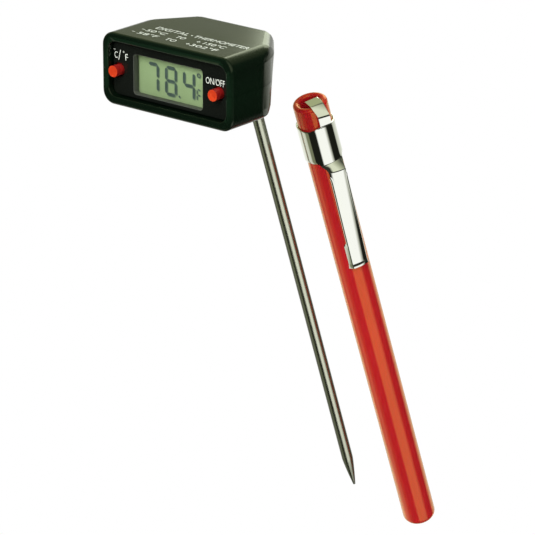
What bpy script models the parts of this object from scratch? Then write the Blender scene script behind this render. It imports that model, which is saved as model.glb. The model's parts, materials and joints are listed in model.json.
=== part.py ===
"""Digital pocket thermometer with a hexagonal head, a steel stem and a clip-on plastic sheath.

World frame, metres: +Z runs up along the stem, +X along the display, and -Y is the side that the
display faces. The origin is the blunt end of the stem's tip. The stem's frame has its origin where
the stem leaves the lower face of the head's neck. The head's frame is tilted: its origin is the
middle of the front lower edge, +y goes back into the head and +z up through it.
"""

import math

import bmesh
import bpy
from mathutils import Matrix, Vector

MM = 0.001

# Driving dimensions, in millimetres.
HEAD_WIDTH = 47.0
HEAD_HEIGHT = 20.7
HEAD_DEPTH = 31.2
SIDE_DEPTH = 17.4
BACK_WIDTH = 26.8
BACK_SLOPE = 4.4  # how far the back leans forward from top to bottom
HEAD_TILT = 20.25  # degrees that the display looks up when the stem is upright
HEAD_ORIGIN = (0.0, -34.0, 10.0)  # in the stem's frame
WALL = 1.8
EDGE_RADIUS = 3.6
FRONT_RADIUS = 0.7
FIT = 0.3  # clearance between neighbouring pieces
PARTING = HEAD_HEIGHT / 2

RIM = 2.4
PANEL_DEPTH = 1.8
PANEL_THICKNESS = 2.0
LEDGE = 1.0
FACE_X = -0.95  # the window and the buttons sit this far to one side of the head's middle
WINDOW_WIDTH = 24.7
WINDOW_HEIGHT = 11.3
WINDOW_Z = 9.6

BUTTON_X = 17.95  # each button's distance from the window's middle
BUTTON_Z = 9.8
BUTTON_RADIUS = 1.65
BUTTON_REACH = 2.5  # length standing out of the panel
BUTTON_TRAVEL = 0.8
FLANGE_RADIUS = 2.15
PLUNGER_RADIUS = 0.8

BOARD_Y = 9.0
BOARD_THICKNESS = 1.2
JOINT_GAP = 0.12  # between a small part and the board that it is soldered to
DOME_HEIGHT = 0.6

BATTERY_RADIUS = 5.8
BATTERY_HEIGHT = 5.4
BATTERY_Y = 17.6
BATTERY_Z = 3.3
CAP_RADIUS = 7.5
CAP_FLANGE = 0.75
CAP_TOP = 2.5
PLUG_HOLE_RADIUS = 6.8

SCREW_X = 16.6
SCREW_Y = 14.2
SCREW_RADIUS = 0.85
SCREW_HEAD_RADIUS = 2.1
POST_RADIUS = 2.9

NECK_RADIUS = 4.6
NECK_TOP = 14.4
NECK_REACH = 9.5  # how far the neck's web runs forward into the head
POCKET_RADIUS = 3.4

STEM_RADIUS = 1.7
STEM_BORE = 1.25
STEM_LENGTH = 151.9
STEM_TOP = 9.6
TIP_LENGTH = 11.0
TIP_RADIUS = 0.35

SHEATH_AT = (11.8, 10.0)
SHEATH_MOUTH = -10.7
SHEATH_LEAN = 1.015  # degrees that the sheath's foot stands out from the stem
SHEATH_LENGTH = 158.0
SHEATH_RADIUS = 5.05
SHEATH_BORE = 3.2
SHEATH_FLOOR = 2.0
SHEATH_LIP = 0.85

CLIP_BEARING = 68.0  # degrees round from -Y towards +X
CLIP_THICKNESS = 0.35
BAND_TOP = 7.0  # below the mouth
BAND_HEIGHT = 11.2
STRAP_WIDTH = 4.2
LEAF_WIDTH = 4.9
LEAF_LENGTH = 37.4

ROUND_STEPS = 48


def clear_scene():
    for old in list(bpy.data.objects):
        bpy.data.objects.remove(old, do_unlink=True)


def new_collection(name, hidden=False):
    collection = bpy.data.collections.new(name)
    bpy.context.scene.collection.children.link(collection)
    collection.hide_render = hidden
    return collection


def make_material(name, colour, roughness, metallic=0.0):
    material = bpy.data.materials.new(name)
    material.use_nodes = True
    shader = material.node_tree.nodes["Principled BSDF"]
    shader.inputs["Base Color"].default_value = (*colour, 1.0)
    shader.inputs["Roughness"].default_value = roughness
    shader.inputs["Metallic"].default_value = metallic
    material.diffuse_color = (*colour, 1.0)
    return material


def point(x, y, z):
    return Vector((x * MM, y * MM, z * MM))


def frame_empty(name, location, rotation=(0.0, 0.0, 0.0), parent=None):
    empty = bpy.data.objects.new(name, None)
    empty.empty_display_size = 0.01
    empty.location = point(*location)
    empty.rotation_euler = [math.radians(angle) for angle in rotation]
    empty.parent = parent
    parts.objects.link(empty)
    return empty


def place(mesh, name, parent, material, at=(0.0, 0.0, 0.0), turn=(0.0, 0.0, 0.0)):
    """A mesh as a named object under its frame, or in the cutters when it has no material."""
    obj = bpy.data.objects.new(name, mesh)
    obj.parent = parent
    obj.location = point(*at)
    obj.rotation_euler = [math.radians(angle) for angle in turn]
    if material is None:
        cutters.objects.link(obj)
        obj.hide_render = True
        obj.display_type = "WIRE"
    else:
        parts.objects.link(obj)
        mesh.materials.append(material)
    return obj


def smooth(obj, angle=35.0):
    obj.data.shade_smooth()
    obj.data.set_sharp_from_angle(angle=math.radians(angle))


def block(name, size, centre, parent, material=None, radius=0.0, edges="all"):
    """A box of the given size; radius rounds all its edges, or only those along one axis."""
    mesh = bpy.data.meshes.new(name)
    shape = bmesh.new()
    bmesh.ops.create_cube(shape, size=1.0, matrix=Matrix.Diagonal((*point(*size), 1.0)))
    if radius:
        axis = "xyz".find(edges)
        chosen = [
            edge
            for edge in shape.edges
            if axis < 0 or abs((edge.verts[0].co - edge.verts[1].co)[axis]) > 1e-6
        ]
        bmesh.ops.bevel(
            shape, geom=chosen, offset=radius * MM, segments=4, profile=0.5, affect="EDGES"
        )
    shape.to_mesh(mesh)
    shape.free()
    obj = place(mesh, name, parent, material, at=centre)
    smooth(obj)
    return obj


def cylinder(name, radius, start, length, parent, material=None, axis="z", steps=ROUND_STEPS):
    """A round bar from start, running length along an axis of its frame."""
    mesh = bpy.data.meshes.new(name)
    shape = bmesh.new()
    bmesh.ops.create_cone(
        shape,
        cap_ends=True,
        segments=steps,
        radius1=radius * MM,
        radius2=radius * MM,
        depth=length * MM,
        matrix=Matrix.Translation(point(0, 0, length / 2)),
    )
    shape.to_mesh(mesh)
    shape.free()
    turn = {"z": (0, 0, 0), "y": (-90, 0, 0), "x": (0, 90, 0)}[axis]
    obj = place(mesh, name, parent, material, at=start, turn=turn)
    smooth(obj)
    return obj


def turned(name, profile, at, parent, material=None, turn=(0, 0, 0), steps=ROUND_STEPS):
    """A profile of (radius, height) pairs, outer side listed from top to bottom, spun round z."""
    mesh = bpy.data.meshes.new(name)
    corners = [point(radius, 0, height) for radius, height in profile]
    last = len(corners) - 1
    edges = [(i, i + 1) for i in range(last)]
    if profile[0][0] > 0 or profile[-1][0] > 0:
        edges.append((last, 0))
    mesh.from_pydata(corners, edges, [])
    obj = place(mesh, name, parent, material, at=at, turn=turn)
    screw = obj.modifiers.new("spin", "SCREW")
    screw.axis = "Z"
    screw.steps = steps
    screw.render_steps = steps
    screw.use_merge_vertices = True
    screw.merge_threshold = 0.000001
    screw.use_smooth_shade = False
    return obj


def arc(centre, radius, start, end, steps):
    """Points of an arc in the (radius, height) plane, angles in degrees."""
    found = []
    for i in range(steps + 1):
        angle = math.radians(start + (end - start) * i / steps)
        found.append(
            (centre[0] + radius * math.cos(angle), centre[1] + radius * math.sin(angle))
        )
    return found


def boolean(target, other, operation="DIFFERENCE"):
    modifier = target.modifiers.new(f"{operation.lower()} {other.name}", "BOOLEAN")
    modifier.operation = operation
    modifier.solver = "EXACT"
    modifier.object = other


def wire(name, points, radius, parent, material):
    """A round wire through the given points."""
    curve = bpy.data.curves.new(name, "CURVE")
    curve.dimensions = "3D"
    curve.bevel_depth = radius * MM
    curve.bevel_resolution = 1
    curve.use_fill_caps = True
    spline = curve.splines.new("POLY")
    spline.points.add(len(points) - 1)
    for target, place_at in zip(spline.points, points):
        target.co = (*point(*place_at), 1.0)
    obj = bpy.data.objects.new(name, curve)
    obj.parent = parent
    parts.objects.link(obj)
    curve.materials.append(material)
    return obj


def strip(name, path, width, parent, material):
    """A sheet-metal strip: a path in the (outward, up) plane, given a width and a thickness."""
    mesh = bpy.data.meshes.new(name)
    shape = bmesh.new()
    left = [shape.verts.new(point(-width / 2, -out, up)) for out, up in path]
    edges = [shape.edges.new(pair) for pair in zip(left, left[1:])]
    made = bmesh.ops.extrude_edge_only(shape, edges=edges)["geom"]
    moved = [item for item in made if isinstance(item, bmesh.types.BMVert)]
    bmesh.ops.translate(shape, verts=moved, vec=point(width, 0, 0))
    bmesh.ops.recalc_face_normals(shape, faces=shape.faces)
    shape.to_mesh(mesh)
    shape.free()
    obj = place(mesh, name, parent, material)
    solid = obj.modifiers.new("sheet", "SOLIDIFY")
    solid.thickness = CLIP_THICKNESS * MM
    solid.offset = 0.0
    solid.use_even_offset = True
    smooth(obj, 50.0)
    return obj


def button_x(side):
    return FACE_X + side * BUTTON_X


def head_outline(inset, height):
    """The hexagonal plan at a height, drawn in by inset, anticlockwise from the front left."""
    lean = BACK_SLOPE * (1.0 - height / HEAD_HEIGHT)
    side = HEAD_WIDTH / 2 - inset
    back = BACK_WIDTH / 2 - inset * 0.6
    depth = HEAD_DEPTH - lean - inset
    flank = SIDE_DEPTH - inset * 0.4
    return [
        (-side, inset),
        (side, inset),
        (side, flank),
        (back, depth),
        (-back, depth),
        (-side, flank),
    ]


def head_prism(name, inset, parent, material=None, front=None):
    """The head's solid drawn in by inset all round; front moves its front face back."""
    mesh = bpy.data.meshes.new(name)
    shape = bmesh.new()
    rings = []
    for height in (inset, HEAD_HEIGHT - inset):
        outline = head_outline(inset, height)
        if front is not None:
            outline[0] = (outline[0][0], front)
            outline[1] = (outline[1][0], front)
        rings.append([shape.verts.new(point(x, y, height)) for x, y in outline])
    low, high = rings
    shape.faces.new(reversed(low))
    shape.faces.new(high)
    count = len(low)
    for i in range(count):
        after = (i + 1) % count
        shape.faces.new((low[i], low[after], high[after], high[i]))
    weight = shape.edges.layers.float.new("bevel_weight_edge")
    for edge in shape.edges:
        edge[weight] = edge_weight(edge)
    shape.to_mesh(mesh)
    shape.free()
    obj = place(mesh, name, parent, material)
    bevel = obj.modifiers.new("soft edges", "BEVEL")
    bevel.limit_method = "WEIGHT"
    bevel.width = max(EDGE_RADIUS - inset, 1.0) * MM
    bevel.segments = 4
    rim = obj.modifiers.new("crisp front rim", "BEVEL")
    rim.limit_method = "ANGLE"
    rim.angle_limit = math.radians(60.0)
    rim.width = FRONT_RADIUS * MM
    rim.segments = 3
    smooth(obj)
    return obj


def edge_weight(edge):
    """How round an edge of the head is: full along the sides, and none round the display."""
    start, end = edge.verts[0].co, edge.verts[1].co
    front = 6.0 * MM
    if start.y < front and end.y < front:
        return 0.0
    if abs(start.z - end.z) > 1.0 * MM:
        return 0.75
    if start.y < front or end.y < front:
        return 1.0
    return 0.8


def rounded_opening(name, width, height, radius, start, depth, at=(0.0, PARTING)):
    """A cutter through the head with a rounded-rectangle section, from y=start, depth long."""
    centre = (at[0], start + depth / 2, at[1])
    return block(name, (width, depth, height), centre, head, radius=radius, edges="y")


def neck_blank(name, parent):
    """The stem's socket: a round column with a web that runs forward into the head."""
    mesh = bpy.data.meshes.new(name)
    shape = bmesh.new()
    outline = [(-NECK_RADIUS, -NECK_REACH), (NECK_RADIUS, -NECK_REACH)]
    outline += arc((0.0, 0.0), NECK_RADIUS, 0.0, 180.0, 16)
    base = shape.faces.new([shape.verts.new(point(x, y, 0.0)) for x, y in outline])
    made = bmesh.ops.extrude_face_region(shape, geom=[base])["geom"]
    moved = [item for item in made if isinstance(item, bmesh.types.BMVert)]
    bmesh.ops.translate(shape, verts=moved, vec=point(0, 0, NECK_TOP))
    top = [edge for edge in shape.edges if min(v.co.z for v in edge.verts) > 1.0 * MM]
    bmesh.ops.bevel(
        shape, geom=top, offset=1.6 * MM, segments=3, profile=0.5, affect="EDGES"
    )
    bmesh.ops.recalc_face_normals(shape, faces=shape.faces)
    shape.to_mesh(mesh)
    shape.free()
    return place(mesh, name, parent, None)


def build_shells():
    """The two halves of the head, cut from one solid at the parting plane."""
    neck = neck_blank("neck_blank", stem)
    cavity = head_prism("cavity", WALL, head, front=PANEL_DEPTH + PANEL_THICKNESS + 1.3)
    opening_width = HEAD_WIDTH - 2 * RIM
    opening_height = HEAD_HEIGHT - 2 * RIM
    panel_seat = rounded_opening(
        "panel_seat",
        opening_width,
        opening_height,
        2.2,
        -1.0,
        1.0 + PANEL_DEPTH + PANEL_THICKNESS + FIT,
    )
    ledge_opening = rounded_opening(
        "ledge_opening", opening_width - 2 * LEDGE, opening_height - 2 * LEDGE, 1.2, 0.0, 8.0
    )
    pocket = cylinder("collar_pocket", POCKET_RADIUS, (0, 0, 2.2), 9.8, stem)
    lead_channel = block("lead_channel", (3.0, 10.0, 3.6), (0, -5.0, 10.1), stem)
    stem_hole = cylinder("stem_hole", STEM_RADIUS + FIT, (0, 0, -1.0), 5.0, stem)
    recess_depth = CAP_FLANGE + 0.2
    cap_recess = cylinder(
        "cap_recess", CAP_RADIUS + FIT, (0, BATTERY_Y, -1.0), 1.0 + recess_depth, head
    )
    cap_hole = cylinder("cap_hole", PLUG_HOLE_RADIUS, (0, BATTERY_Y, -1.0), 4.0, head)
    far = 60.0
    thick = 30.0
    gap = 0.05
    below = block(
        "below_parting", (far, far, thick), (0, 20, PARTING - thick / 2 + gap), head
    )
    above = block(
        "above_parting", (far, far, thick), (0, 20, PARTING + thick / 2 - gap), head
    )

    upper = head_prism("upper_shell", 0.0, head, plastic)
    lower = head_prism("lower_shell", 0.0, head, plastic)
    for shell in (upper, lower):
        boolean(shell, neck, "UNION")
        boolean(shell, cavity)
    for side in (-1, 1):
        x = side * SCREW_X
        post = cylinder(f"screw_post_{side}", POST_RADIUS, (x, SCREW_Y, 1.0), 18.6, head)
        seat = cylinder(
            f"screw_seat_{side}", SCREW_HEAD_RADIUS + FIT, (x, SCREW_Y, -1.0), 3.2, head
        )
        bore = cylinder(f"screw_bore_{side}", SCREW_RADIUS + FIT, (x, SCREW_Y, -1.0), 17.5, head)
        flange_room = cylinder(
            f"flange_room_{side}",
            FLANGE_RADIUS + FIT,
            (button_x(side), PANEL_DEPTH, BUTTON_Z),
            5.0,
            head,
            axis="y",
        )
        for shell in (upper, lower):
            boolean(shell, post, "UNION")
            boolean(shell, seat)
            boolean(shell, bore)
            boolean(shell, flange_room)
    for shell in (upper, lower):
        boolean(shell, panel_seat)
        boolean(shell, ledge_opening)
        boolean(shell, pocket)
        boolean(shell, lead_channel)
    boolean(lower, stem_hole)
    boolean(lower, cap_recess)
    boolean(lower, cap_hole)
    boolean(upper, below)
    boolean(lower, above)


def build_display():
    """The recessed panel with its window, the lens, the display cell and its connectors."""
    width = HEAD_WIDTH - 2 * RIM - 2 * FIT
    height = HEAD_HEIGHT - 2 * RIM - 2 * FIT
    middle = PANEL_DEPTH + PANEL_THICKNESS / 2
    panel = block(
        "front_panel",
        (width, PANEL_THICKNESS, height),
        (0, middle, PARTING),
        head,
        black_panel,
        radius=1.9,
        edges="y",
    )
    window = rounded_opening(
        "window_opening",
        WINDOW_WIDTH,
        WINDOW_HEIGHT,
        0.9,
        0.0,
        8.0,
        at=(FACE_X, WINDOW_Z),
    )
    boolean(panel, window)
    for side in (-1, 1):
        hole = cylinder(
            f"button_hole_{side}",
            BUTTON_RADIUS + FIT,
            (button_x(side), 0.0, BUTTON_Z),
            8.0,
            head,
            axis="y",
        )
        boolean(panel, hole)
    back = PANEL_DEPTH + PANEL_THICKNESS
    block(
        "window_lens",
        (WINDOW_WIDTH - 0.4, 0.8, WINDOW_HEIGHT - 0.4),
        (FACE_X, back - 0.4, WINDOW_Z),
        head,
        clear_plastic,
        radius=0.7,
        edges="y",
    )
    cell_back = back + FIT + 1.8
    block(
        "lcd_cell",
        (WINDOW_WIDTH + 3.2, 1.8, WINDOW_HEIGHT + 0.6),
        (FACE_X, back + FIT + 0.9, WINDOW_Z),
        head,
        lcd_glass,
        radius=0.15,
    )
    strip_depth = BOARD_Y - cell_back - 2 * 0.15
    for name, side in (("lcd_connector_lower", -1), ("lcd_connector_upper", 1)):
        block(
            name,
            (WINDOW_WIDTH, strip_depth, 1.6),
            (FACE_X, cell_back + 0.15 + strip_depth / 2, WINDOW_Z + side * 4.9),
            head,
            rubber,
            radius=0.2,
            edges="x",
        )


def build_electronics():
    board_width = 40.4
    board_height = 14.2
    block(
        "circuit_board",
        (board_width, BOARD_THICKNESS, board_height),
        (FACE_X, BOARD_Y + BOARD_THICKNESS / 2, PARTING),
        head,
        board_green,
        radius=1.0,
        edges="y",
    )
    board_back = BOARD_Y + BOARD_THICKNESS
    dome = [(0.0, 1.3)] + arc((0.0, -1.2), 2.5, 90.0, 32.0, 6)[1:] + [(2.4, 0.0), (0.0, 0.0)]
    turned(
        "chip_blob",
        [(radius * 1.4, height) for radius, height in dome],
        (6.0, board_back + JOINT_GAP, 13.4),
        head,
        epoxy,
        turn=(-90, 0, 0),
        steps=24,
    )
    switch = [(0.0, DOME_HEIGHT), (1.0, DOME_HEIGHT), (1.9, 0.15), (1.9, 0.0), (0.0, 0.0)]
    for name, side in (("units_switch_dome", -1), ("power_switch_dome", 1)):
        turned(
            name,
            switch,
            (button_x(side), BOARD_Y - JOINT_GAP, BUTTON_Z),
            head,
            spring_steel,
            turn=(90, 0, 0),
            steps=24,
        )


def build_button(name, side):
    """A round push button, its flange behind the panel and its plunger over the switch."""
    plunger_end = BOARD_Y - JOINT_GAP - DOME_HEIGHT - FIT - BUTTON_TRAVEL
    flange_top = plunger_end - (PANEL_DEPTH + PANEL_THICKNESS + FIT)
    flange_bottom = flange_top - 0.8
    reach = plunger_end - (PANEL_DEPTH - BUTTON_REACH)
    soft = 0.35
    profile = [(0.0, reach)]
    profile += arc((BUTTON_RADIUS - soft, reach - soft), soft, 90.0, 0.0, 3)
    profile += [(BUTTON_RADIUS, flange_top), (FLANGE_RADIUS, flange_top)]
    profile += [(FLANGE_RADIUS, flange_bottom), (PLUNGER_RADIUS, flange_bottom)]
    profile += [(PLUNGER_RADIUS, 0.0), (0.0, 0.0)]
    turned(
        name,
        profile,
        (button_x(side), plunger_end, BUTTON_Z),
        head,
        button_red,
        turn=(90, 0, 0),
        steps=32,
    )


def build_battery():
    top = BATTERY_Z + BATTERY_HEIGHT
    rim = 0.4
    cell = [(0.0, top), (BATTERY_RADIUS - 0.9, top), (BATTERY_RADIUS - 0.9, top - 0.3)]
    cell += [(BATTERY_RADIUS, top - 0.3), (BATTERY_RADIUS, BATTERY_Z + rim)]
    cell += [(BATTERY_RADIUS - rim, BATTERY_Z), (0.0, BATTERY_Z)]
    turned("battery_cell", cell, (0, BATTERY_Y, 0), head, bright_steel)

    outer = BATTERY_RADIUS + 1.4
    inner = BATTERY_RADIUS + 0.4
    roof = top + FIT
    cradle = [(2.0, roof + 0.9), (outer, roof + 0.9), (outer, WALL + FIT)]
    cradle += [(inner, WALL + FIT), (inner, roof), (2.0, roof)]
    turned("battery_cradle", cradle, (0, BATTERY_Y, 0), head, plastic)

    contact = block(
        "battery_contact",
        (3.0, 6.6, 0.3),
        (0, BATTERY_Y - 2.2, roof + 1.35),
        head,
        spring_steel,
    )
    finger = cylinder("contact_finger", 1.2, (0, BATTERY_Y, top + 0.15), 1.6, head, steps=24)
    boolean(contact, finger, "UNION")

    cap = [(0.0, CAP_TOP), (BATTERY_RADIUS, CAP_TOP), (BATTERY_RADIUS, CAP_FLANGE)]
    cap += [(CAP_RADIUS, CAP_FLANGE), (CAP_RADIUS, 0.15), (CAP_RADIUS - 0.15, 0.0), (0.0, 0.0)]
    disc = turned("battery_cap", cap, (0, BATTERY_Y, 0), head, plastic)
    slot = block("coin_slot", (9.6, 1.7, 1.2), (0, BATTERY_Y, 0.0), head, radius=0.8, edges="z")
    boolean(disc, slot)
    seal_radius = 0.32
    seal_middle = ((BATTERY_RADIUS + PLUG_HOLE_RADIUS) / 2, 1.4)
    seal = arc(seal_middle, seal_radius, 90.0, -225.0, 7)
    turned("battery_seal", seal, (0, BATTERY_Y, 0), head, rubber)
    cylinder("cap_contact", 3.6, (0, BATTERY_Y, CAP_TOP + 0.1), 0.3, head, spring_steel)


def build_screws():
    for name, side in (("shell_screw_left", -1), ("shell_screw_right", 1)):
        profile = [(0.0, 15.6), (0.5, 15.6), (SCREW_RADIUS, 14.6), (SCREW_RADIUS, 1.9)]
        profile += [(SCREW_HEAD_RADIUS, 1.9), (SCREW_HEAD_RADIUS, 0.9), (1.7, 0.5), (0.0, 0.5)]
        screw = turned(
            name, profile, (side * SCREW_X, SCREW_Y, 0), head, bright_steel, steps=24
        )
        for i, turn in enumerate((0.0, 90.0)):
            slot = block(
                f"{name}_cross_{i}", (2.4, 0.5, 1.0), (side * SCREW_X, SCREW_Y, 0.5), head
            )
            slot.rotation_euler.z = math.radians(turn)
            boolean(screw, slot)


def build_stem():
    """The steel tube with its pointed end, and the sensor and wires that it holds."""
    bottom = -STEM_LENGTH
    full = bottom + TIP_LENGTH
    outer = [(STEM_RADIUS, STEM_TOP), (STEM_RADIUS, full)]
    steps = 6
    for i in range(1, steps + 1):
        along = i / steps
        radius = TIP_RADIUS + (STEM_RADIUS - TIP_RADIUS) * (1.0 - along**1.25)
        outer.append((radius, full - TIP_LENGTH * along))
    inner = [(0.0, bottom), (0.0, full - 2.0), (STEM_BORE, full + 0.5), (STEM_BORE, STEM_TOP)]
    turned("stem_tube", outer + inner, (0, 0, 0), stem, polished_steel)

    collar = [(3.0, 5.4), (3.0, 2.6), (STEM_RADIUS + 0.12, 2.6), (STEM_RADIUS + 0.12, 5.4)]
    turned("stem_collar", collar, (0, 0, 0), stem, brass)

    bung = cylinder("stem_bung", 1.1, (0, 0, STEM_TOP - 3.0), 3.6, stem, rubber, steps=24)
    for side in (-1, 1):
        hole = cylinder(f"bung_hole_{side}", 0.3, (side * 0.42, 0, 0), 20.0, stem, steps=12)
        boolean(bung, hole)

    sleeve_top = STEM_TOP - 4.0
    sleeve_bottom = full + 3.2
    sleeve = [(1.08, sleeve_top), (1.08, sleeve_bottom), (0.8, sleeve_bottom), (0.8, sleeve_top)]
    turned("insulating_sleeve", sleeve, (0, 0, 0), stem, cream_plastic, steps=16)

    bead_top = full + 2.0
    bead = [(0.0, bead_top)] + arc((0.0, full + 1.0), 0.9, 80.0, -80.0, 8) + [(0.0, full + 0.1)]
    turned("thermistor_bead", bead, (0, 0, 0), stem, epoxy, steps=16)
    for name, side in (("sensor_lead_left", -1), ("sensor_lead_right", 1)):
        x = side * 0.42
        run = [(x, 0, bead_top + 0.3), (x, 0, STEM_TOP + 0.7), (x, -1.0, STEM_TOP + 1.5)]
        run += [(x, -6.5, STEM_TOP + 1.5), (x - 3.5, -13.0, 16.0), (x - 9.0, -19.0, 18.0)]
        wire(name, run, 0.14, stem, copper)


def build_sheath():
    """The plastic pocket sheath and its spring clip, in a frame at the middle of the mouth."""
    lip = SHEATH_LIP
    corner = 2.2
    floor = -SHEATH_LENGTH
    profile = arc((SHEATH_RADIUS - lip, -lip), lip, 90.0, 0.0, 4)
    profile += arc((SHEATH_RADIUS - corner, floor + corner), corner, 0.0, -90.0, 6)
    profile += [(0.0, floor), (0.0, floor + SHEATH_FLOOR), (SHEATH_BORE - 0.6, floor + SHEATH_FLOOR)]
    profile += [(SHEATH_BORE, floor + SHEATH_FLOOR + 0.6)]
    profile += arc((SHEATH_BORE + lip, -lip), lip, 180.0, 90.0, 4)
    turned("sheath_tube", profile, (0, 0, 0), sheath, red_plastic)

    band_inner = SHEATH_RADIUS + 0.15
    band_outer = band_inner + CLIP_THICKNESS
    band_middle = (band_inner + band_outer) / 2
    low = -BAND_TOP - BAND_HEIGHT
    ring = [(band_outer, -BAND_TOP), (band_outer, low), (band_inner, low), (band_inner, -BAND_TOP)]
    band = turned("clip_band", ring, (0, 0, 0), clip, chrome)
    strap_path = [(1.3, 1.0), (4.2, 0.65), (7.1, -1.9), (7.1, -5.2)]
    strap_path += [(band_middle, -BAND_TOP - 0.3), (band_middle, -BAND_TOP - 2.0)]
    strap = strip("clip_strap", strap_path, STRAP_WIDTH, clip, None)
    boolean(band, strap, "UNION")

    root = low - FIT
    leaf_path = [(band_middle, root), (6.9, root - 2.8), (6.6, root - 12.0)]
    leaf_path += [(5.7, root - LEAF_LENGTH + 1.4), (5.9, root - LEAF_LENGTH)]
    strip("clip_leaf", leaf_path, LEAF_WIDTH, clip, chrome)


clear_scene()
parts = new_collection("pocket_thermometer")
cutters = new_collection("cutters", hidden=True)

plastic = make_material("black_plastic", (0.012, 0.014, 0.012), 0.45)
black_panel = make_material("panel_black", (0.006, 0.007, 0.006), 0.35)
clear_plastic = make_material("clear_plastic", (0.8, 0.82, 0.8), 0.08)
lcd_glass = make_material("lcd_glass", (0.30, 0.36, 0.22), 0.3)
button_red = make_material("button_red", (0.75, 0.05, 0.015), 0.3)
red_plastic = make_material("sheath_red", (0.55, 0.02, 0.012), 0.25)
polished_steel = make_material("polished_steel", (0.62, 0.62, 0.56), 0.18, 1.0)
bright_steel = make_material("bright_steel", (0.6, 0.6, 0.58), 0.25, 1.0)
spring_steel = make_material("spring_steel", (0.55, 0.54, 0.5), 0.3, 1.0)
chrome = make_material("chrome", (0.85, 0.86, 0.82), 0.06, 1.0)
brass = make_material("brass", (0.7, 0.5, 0.2), 0.3, 1.0)
copper = make_material("enamelled_copper", (0.55, 0.2, 0.08), 0.35, 1.0)
rubber = make_material("black_rubber", (0.02, 0.02, 0.02), 0.8)
epoxy = make_material("black_epoxy", (0.015, 0.015, 0.015), 0.4)
board_green = make_material("board_green", (0.02, 0.16, 0.06), 0.4)
cream_plastic = make_material("cream_plastic", (0.75, 0.68, 0.5), 0.5)

stem = frame_empty("stem_frame", (0, 0, STEM_LENGTH))
head = frame_empty("head_frame", HEAD_ORIGIN, rotation=(-HEAD_TILT, 0, 0), parent=stem)
sheath = frame_empty(
    "sheath_frame", (*SHEATH_AT, SHEATH_MOUTH), rotation=(0, -SHEATH_LEAN, 0), parent=stem
)
clip = frame_empty("clip_frame", (0, 0, 0), rotation=(0, 0, CLIP_BEARING), parent=sheath)

build_shells()
build_display()
build_electronics()
build_button("units_button", -1)
build_button("power_button", 1)
build_battery()
build_screws()
build_stem()
build_sheath()
bpy.context.view_layer.update()
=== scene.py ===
"""Looks of the pocket thermometer: a black moulded head with a recessed display, a steel stem,
and a red pocket sheath with a chrome clip.

Shapes are modelled in millimetres in the frame of their part and placed by that frame's matrix,
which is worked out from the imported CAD. In every frame x runs right, y back and z up. The head's
frame starts at the middle of its front lower edge, the stem's where the stem leaves the neck, and
the sheath's and the clip's at the middle of the sheath's mouth.
"""

import json
import math

import bmesh
import bpy
from mathutils import Matrix, Vector


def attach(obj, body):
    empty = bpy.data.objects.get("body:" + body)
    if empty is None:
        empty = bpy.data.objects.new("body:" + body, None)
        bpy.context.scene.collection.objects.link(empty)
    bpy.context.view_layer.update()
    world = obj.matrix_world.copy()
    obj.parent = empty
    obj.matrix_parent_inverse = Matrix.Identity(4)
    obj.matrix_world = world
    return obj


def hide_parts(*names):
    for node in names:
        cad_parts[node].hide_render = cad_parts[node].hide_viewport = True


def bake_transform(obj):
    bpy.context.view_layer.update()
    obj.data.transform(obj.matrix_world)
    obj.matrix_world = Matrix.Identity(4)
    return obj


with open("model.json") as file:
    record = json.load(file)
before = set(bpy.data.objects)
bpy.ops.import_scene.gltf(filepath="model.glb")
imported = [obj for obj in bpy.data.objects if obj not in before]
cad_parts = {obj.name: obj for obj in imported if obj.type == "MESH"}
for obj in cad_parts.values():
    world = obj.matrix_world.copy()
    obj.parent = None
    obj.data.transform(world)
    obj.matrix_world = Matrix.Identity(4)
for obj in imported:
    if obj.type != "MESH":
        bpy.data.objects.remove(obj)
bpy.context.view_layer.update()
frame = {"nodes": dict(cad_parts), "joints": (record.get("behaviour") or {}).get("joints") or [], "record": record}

MM = 0.001
ROUND = 96  # sides of a turned shape
CORNER = 8  # steps in a rounded corner
FAR = 80.0  # beyond the head in every direction
GRAIN_DEPTH = 0.02  # of a finish's fine bumps
WHITE = (1.0, 1.0, 1.0, 1.0)
LENGTHWISE = (1.0, 1.0, 0.05)  # stretches marks along z

# The head, a hexagonal plan whose back leans forward; as in the CAD but with rounder edges.
HEAD_DEPTH = 31.2
SIDE_DEPTH = 17.4
BACK_WIDTH = 26.8
BACK_SLOPE = 4.4
EDGE_ROUNDING = 3.9
CORNER_ROUNDING = 5.0
FRONT_RADIUS = 0.8
WALL = 1.8
RIM = 2.4
RECESS_RADIUS = 2.6
LEDGE = 1.0
PARTING_GAP = 0.07
NECK_RADIUS = 4.6
NECK_TOP = 14.4
NECK_REACH = 9.5
NECK_ROUNDING = 1.8
NECK_FOOT = 0.5

# Hollows and posts inside the head.
COLLAR_ROOM = 3.4
POST_RADIUS = 2.9
POST_TOP = 19.6
SCREW_ROOM = 1.15
SCREW_HEAD_ROOM = 2.4
WINDOW_CLEARANCE = 0.4  # of the window round its lens
BEZEL_MARGIN = 0.7
BUTTON_HOLE = 1.95
BUTTON_HOLE_MOUTH = 2.25

# The display's characters and the white lettering.
DIGIT_WIDTH = 3.45
DIGIT_HEIGHT = 7.6
DIGIT_PITCH = 6.5
DIGIT_STROKE = 0.95
DIGIT_LEFT = -9.95
DIGIT_FOOT = 5.35
SEGMENT_GAP = 0.12
POINT_OFFSET = 1.75  # of the decimal point, left of the digit after it
UNIT_OFFSET = 1.9
UNIT_WIDTH = 1.3
UNIT_HEIGHT = 3.1
UNIT_STROKE = 0.42
DEGREE_RADIUS = 0.66
DEGREE_BORE = 0.34
PRINT_WEIGHT = -0.006  # thins the white lettering's strokes
PRINT_LIFT = 0.02
INK_SHIFT = (0.28, -0.22)  # of the shadow that the digits cast on the reflector

BUTTON_RADIUS = 1.65
FLANGE_RADIUS = 2.15
FLANGE_THICKNESS = 0.8
PLUNGER_RADIUS = 0.8

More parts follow.
